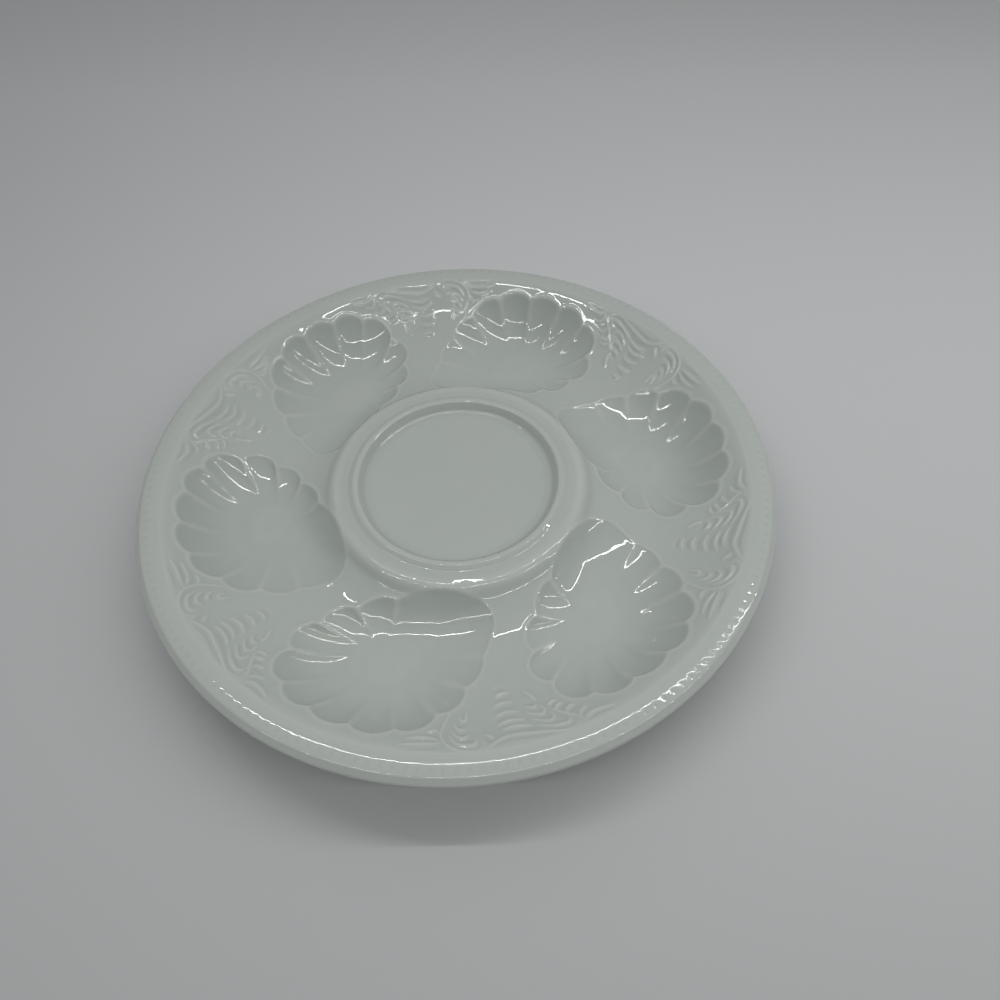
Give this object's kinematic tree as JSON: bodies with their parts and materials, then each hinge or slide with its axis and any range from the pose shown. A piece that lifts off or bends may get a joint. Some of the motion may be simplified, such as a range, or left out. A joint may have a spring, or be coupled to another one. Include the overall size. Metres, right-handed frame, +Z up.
{
  "type": "oyster platter",
  "caption": "Round glazed ceramic platter with scallop-shaped wells around a raised centre well, seaweed relief between them, a beaded rim and a turned foot.",
  "frame": {"origin": "middle of the platter, on the plane that its foot stands on", "axes": "+Z up along the platter's axis; -Y from the axis through the first shell well"},
  "size_m": [0.2714, 0.2714, 0.0315],
  "materials": {
    "white_glaze": "glossy white glaze with a faint green-grey cast",
    "bare_foot": "bare fired clay where the foot stands, glazed above"
  },
  "bodies": {
    "root": {"field": "white_glaze", "beaded_rim": "white_glaze", "center_well": "white_glaze", "foot_ring": "bare_foot", "shell_well_1": "white_glaze", "shell_well_2": "white_glaze", "shell_well_3": "white_glaze", "shell_well_4": "white_glaze", "shell_well_5": "white_glaze", "shell_well_6": "white_glaze", "seaweed_sprig_1": "white_glaze", "seaweed_sprig_2": "white_glaze", "seaweed_sprig_3": "white_glaze", "seaweed_sprig_4": "white_glaze", "seaweed_sprig_5": "white_glaze", "seaweed_sprig_6": "white_glaze"}
  },
  "joints": []
}
